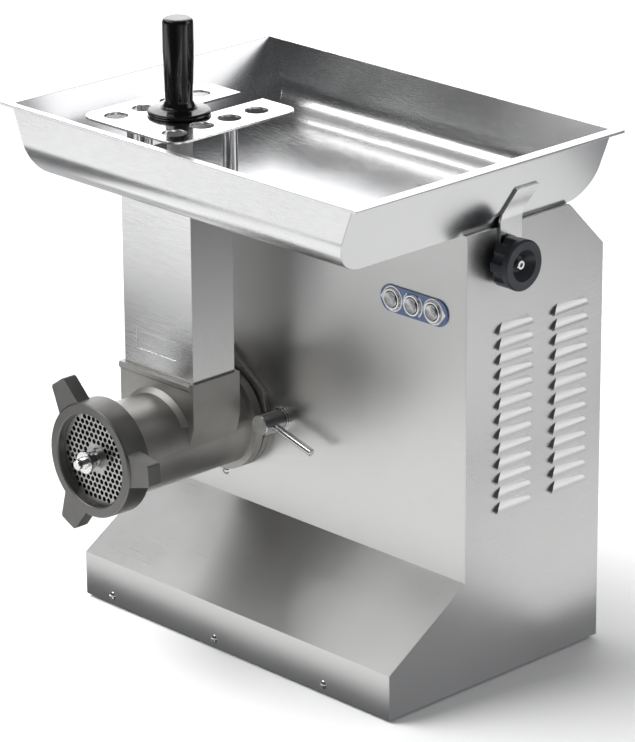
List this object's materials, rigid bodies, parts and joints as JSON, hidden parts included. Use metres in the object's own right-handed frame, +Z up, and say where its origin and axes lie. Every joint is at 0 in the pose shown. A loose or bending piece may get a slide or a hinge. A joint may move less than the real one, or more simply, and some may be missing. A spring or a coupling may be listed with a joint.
{
  "type": "electric meat grinder",
  "caption": "Countertop meat grinder: stainless cabinet with geared motor, side-mounted grinding head, lift-off feed tray with neck, guard and pestle.",
  "frame": {"origin": "middle of the machine's outline seen from above, on the plane that the rubber feet stand on", "axes": "+Z up, -Y towards the outlet (front), +X towards the louvred side with the tray knob"},
  "size_m": [0.474, 0.396, 0.6],
  "materials": {
    "satin_sheet": "satin brushed stainless sheet",
    "tray_sheet": "satin stainless sheet, welded and dressed",
    "guard_sheet": "bright polished stainless sheet",
    "cast_stainless": "fine blasted and turned stainless casting",
    "plate_steel": "ground tool steel",
    "bright_steel": "polished or turned stainless",
    "handle_black": "black gloss plastic",
    "knob_black": "black fine-textured plastic",
    "rod_white": "white food-grade plastic",
    "panel_blue": "blue printed membrane",
    "rubber_black": "black rubber",
    "grey_plastic": "moulded plastic",
    "zinc_plate": "plated sheet and can",
    "cast_aluminium": "as-cast aluminium",
    "gear_steel": "machined steel",
    "laminations": "stacked electrical steel",
    "copper_wire": "enamelled copper winding",
    "seal_rubber": "brown seal rubber"
  },
  "bodies": {
    "cabinet": {"front_panel": "satin_sheet", "right_side_panel": "satin_sheet", "left_side_panel": "satin_sheet", "top_panel": "satin_sheet", "rear_panel": "satin_sheet", "base_plate": "zinc_plate", "rubber_feet": "rubber_black", "front_screws": "bright_steel", "rear_screws": "bright_steel", "cable_gland": "grey_plastic", "mounting_flange": "cast_stainless", "head_body": "cast_stainless", "grinding_plate": "plate_steel", "gearbox_case": "cast_aluminium", "gearbox_cover": "cast_aluminium", "gearbox_screws": "gear_steel", "output_bearings": "gear_steel", "layshaft_bearings": "gear_steel", "motor_bearings": "gear_steel", "shaft_seal": "seal_rubber", "motor_housing": "cast_aluminium", "motor_end_shield": "cast_aluminium", "stator_core": "laminations", "stator_windings": "copper_wire", "fan_cowl": "grey_plastic", "contactor_box": "grey_plastic", "run_capacitor": "zinc_plate", "switch_blocks": "grey_plastic", "control_plate": "panel_blue", "button_bezels": "bright_steel", "clamp_washers": "bright_steel", "knob_stud": "bright_steel"},
    "auger_drive": {"output_gear": "gear_steel", "drive_shaft": "gear_steel", "auger": "cast_stainless", "knife": "plate_steel", "auger_stud": "bright_steel", "stud_washer": "bright_steel", "stud_nut": "bright_steel"},
    "layshaft_assembly": {"layshaft": "gear_steel", "layshaft_gear": "gear_steel", "layshaft_pinion": "gear_steel"},
    "rotor": {"rotor_core": "laminations", "rotor_shaft": "gear_steel", "motor_pinion": "gear_steel", "cooling_fan": "grey_plastic"},
    "ring_nut": {"ring_nut": "cast_stainless"},
    "head_clamp": {"clamp_screw": "bright_steel", "clamp_rod": "bright_steel"},
    "tray_knob": {"clamp_knob": "knob_black"},
    "reverse_button": {"reverse_button": "bright_steel"},
    "stop_button": {"stop_button": "bright_steel"},
    "start_button": {"start_button": "bright_steel"},
    "feed_tray": {"tray": "tray_sheet", "feed_neck": "tray_sheet", "guard_plate": "guard_sheet", "guard_posts": "bright_steel", "tray_bracket": "tray_sheet"},
    "pestle": {"pestle_handle": "handle_black", "pestle_rod": "rod_white"}
  },
  "joints": [
    {"name": "auger_spin", "type": "hinge", "parent": "cabinet", "child": "auger_drive", "pos_m": [-0.109, 0, 0.1945], "axis": [0, 1, 0], "continuous": true},
    {"name": "layshaft_spin", "type": "hinge", "parent": "cabinet", "child": "layshaft_assembly", "pos_m": [-0.0325, 0, 0.1945], "axis": [0, 1, 0], "continuous": true},
    {"name": "rotor_spin", "type": "hinge", "parent": "cabinet", "child": "rotor", "pos_m": [0.027, 0, 0.1945], "axis": [0, 1, 0], "continuous": true},
    {"name": "ring_nut_turn", "type": "hinge", "parent": "cabinet", "child": "ring_nut", "pos_m": [-0.109, 0, 0.1945], "axis": [0, 1, 0], "range_deg": [0, 900]},
    {"name": "clamp_turn", "type": "hinge", "parent": "cabinet", "child": "head_clamp", "pos_m": [-0.039, -0.016, 0.2075], "axis": [0, 1, 0], "range_deg": [-95, 65]},
    {"name": "knob_turn", "type": "hinge", "parent": "cabinet", "child": "tray_knob", "pos_m": [0.2075, 0.0485, 0.4125], "axis": [1, 0, 0], "range_deg": [0, 900]},
    {"name": "reverse_press", "type": "slide", "parent": "cabinet", "child": "reverse_button", "axis": [0, 1, 0], "range_m": [0, 0.003], "stiffness_N_per_m": 350, "springref_m": -0.002},
    {"name": "stop_press", "type": "slide", "parent": "cabinet", "child": "stop_button", "axis": [0, 1, 0], "range_m": [0, 0.003], "stiffness_N_per_m": 350, "springref_m": -0.002},
    {"name": "start_press", "type": "slide", "parent": "cabinet", "child": "start_button", "axis": [0, 1, 0], "range_m": [0, 0.003], "stiffness_N_per_m": 350, "springref_m": -0.002},
    {"name": "tray_lift", "type": "slide", "parent": "cabinet", "child": "feed_tray", "axis": [0, 0, 1], "range_m": [0, 0.2]},
    {"name": "pestle_lift", "type": "slide", "parent": "feed_tray", "child": "pestle", "axis": [0, 0, 1], "range_m": [0, 0.26]}
  ],
  "couplings": [
    {"joint": "layshaft_spin", "follows": "auger_spin", "ratio": -3},
    {"joint": "rotor_spin", "follows": "auger_spin", "ratio": 9}
  ]
}
